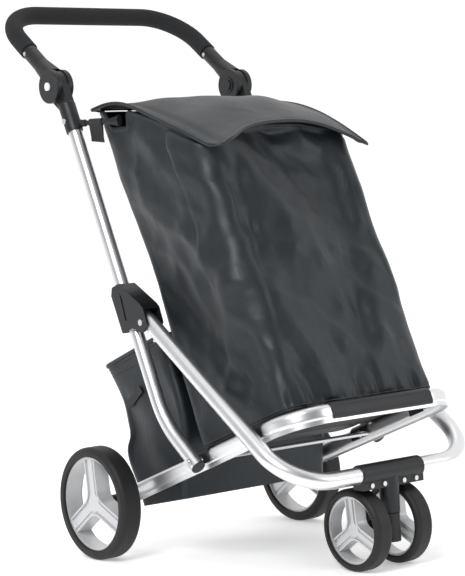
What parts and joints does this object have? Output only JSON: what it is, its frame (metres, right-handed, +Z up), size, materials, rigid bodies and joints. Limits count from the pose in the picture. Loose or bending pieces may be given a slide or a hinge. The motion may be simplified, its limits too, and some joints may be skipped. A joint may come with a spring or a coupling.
{
  "type": "four_wheeled_folding_shopping_trolley",
  "caption": "Folding shopping trolley: aluminium tube frame, tilting push handle, black fabric bag with flap lid, rear pocket, large rear wheels and a twin front caster",
  "frame": {"origin": "on the floor under the middle of the cart", "axes": "+X toward the user's left hand, -Y forward, +Z up"},
  "size_m": [0.512, 0.8272, 1.0078],
  "materials": {
    "tube_aluminium": "satin, drawn",
    "screw_steel": "satin zinc",
    "matte_black": "moulded, matte",
    "gloss_black": "moulded, glossy",
    "rim_plastic": "silver moulded plastic",
    "tyre_rubber": "matte rubber",
    "foam": "closed-cell foam",
    "cloth": "woven polyester",
    "sheet_black": "matte board",
    "white_cap": "white rivet cap"
  },
  "bodies": {
    "uprights": {"upright_left": "tube_aluminium", "upright_right": "tube_aluminium", "upright_plug_left": "matte_black", "upright_plug_right": "matte_black", "handle_bracket_left": "matte_black", "handle_bracket_right": "matte_black", "bracket_screws": "screw_steel", "hanger_peg_left": "matte_black", "hanger_peg_right": "matte_black", "pivot_bolts": "screw_steel", "bag": "cloth", "rear_pocket": "cloth"},
    "handle": {"handle_arm_left": "matte_black", "handle_arm_right": "matte_black", "handle_tube": "tube_aluminium", "foam_grip": "foam", "handle_pins": "white_cap", "arm_screws": "screw_steel"},
    "handle_button_left": {"handle_button_left": "matte_black"},
    "handle_button_right": {"handle_button_right": "matte_black"},
    "base": {"base_frame": "tube_aluminium", "cross_rod": "screw_steel", "bar_sleeve": "matte_black", "platform_sheet": "sheet_black", "saddle_left": "matte_black", "saddle_right": "matte_black", "brace_rest_left": "matte_black", "brace_rest_right": "matte_black", "rear_axle": "screw_steel", "axle_tube": "tube_aluminium", "axle_spacers": "matte_black"},
    "rear_wheel_left": {"rear_rim_left": "rim_plastic", "rear_tyre_left": "tyre_rubber"},
    "rear_wheel_right": {"rear_rim_right": "rim_plastic", "rear_tyre_right": "tyre_rubber"},
    "knuckles": {"knuckle_left": "gloss_black", "knuckle_right": "gloss_black", "brace_rivets": "screw_steel"},
    "brace": {"brace": "tube_aluminium", "caster_clamp_front": "matte_black", "caster_clamp_rear": "matte_black", "clamp_screws": "screw_steel"},
    "lock_pin_left": {"lock_pin_left": "screw_steel"},
    "lock_pin_right": {"lock_pin_right": "screw_steel"},
    "caster": {"caster_swivel": "matte_black", "front_axle": "screw_steel"},
    "front_wheel_left": {"front_rim_left": "rim_plastic", "front_tyre_left": "tyre_rubber"},
    "front_wheel_right": {"front_rim_right": "rim_plastic", "front_tyre_right": "tyre_rubber"},
    "lid": {"lid": "cloth"}
  },
  "joints": [
    {"name": "handle_tilt", "type": "hinge", "parent": "uprights", "child": "handle", "pos_m": [0, 0.215, 0.84305], "axis": [1, 0, 0], "range_deg": [-75, 30]},
    {"name": "handle_button_left_press", "type": "slide", "parent": "handle", "child": "handle_button_left", "axis": [1, 0, 0], "range_m": [0, 0.003], "stiffness_N_per_m": 400},
    {"name": "handle_button_right_press", "type": "slide", "parent": "handle", "child": "handle_button_right", "axis": [-1, 0, 0], "range_m": [0, 0.003], "stiffness_N_per_m": 400},
    {"name": "base_fold", "type": "hinge", "parent": "uprights", "child": "base", "pos_m": [0, -0.12881, 0.18705], "axis": [-1, 0, 0], "range_deg": [0, 55], "deforming": ["bag"]},
    {"name": "knuckle_slide", "type": "slide", "parent": "uprights", "child": "knuckles", "axis": [0, 0.3907, 0.9205], "range_m": [0, 0.1588]},
    {"name": "brace_pivot", "type": "hinge", "parent": "knuckles", "child": "brace", "pos_m": [0, -0.02499, 0.42151], "axis": [1, 0, 0], "range_deg": [0, 12.13]},
    {"name": "lock_pin_left_press", "type": "slide", "parent": "brace", "child": "lock_pin_left", "axis": [0, -0.5892, 0.808], "range_m": [0, 0.003], "stiffness_N_per_m": 400},
    {"name": "lock_pin_right_press", "type": "slide", "parent": "brace", "child": "lock_pin_right", "axis": [0, -0.5892, 0.808], "range_m": [0, 0.003], "stiffness_N_per_m": 400},
    {"name": "caster_swivel", "type": "hinge", "parent": "brace", "child": "caster", "pos_m": [0, -0.37969, 0.0944], "axis": [0, 0, 1], "continuous": true},
    {"name": "front_wheel_left_roll", "type": "hinge", "parent": "caster", "child": "front_wheel_left", "pos_m": [0.046, -0.34769, 0.069], "axis": [1, 0, 0], "continuous": true},
    {"name": "front_wheel_right_roll", "type": "hinge", "parent": "caster", "child": "front_wheel_right", "pos_m": [-0.046, -0.34769, 0.069], "axis": [1, 0, 0], "continuous": true},
    {"name": "rear_wheel_left_roll", "type": "hinge", "parent": "base", "child": "rear_wheel_left", "pos_m": [0.235, 0.117, 0.1], "axis": [1, 0, 0], "continuous": true},
    {"name": "rear_wheel_right_roll", "type": "hinge", "parent": "base", "child": "rear_wheel_right", "pos_m": [-0.235, 0.117, 0.1], "axis": [1, 0, 0], "continuous": true},
    {"name": "lid_open", "type": "hinge", "parent": "uprights", "child": "lid", "pos_m": [0, 0.157, 0.7935], "axis": [-1, 0, 0], "range_deg": [0, 110]}
  ],
  "couplings": [
    {"joint": "knuckle_slide", "follows": "base_fold", "m_per_rad": 0.16492},
    {"joint": "brace_pivot", "follows": "base_fold", "ratio": 0.21689}
  ]
}
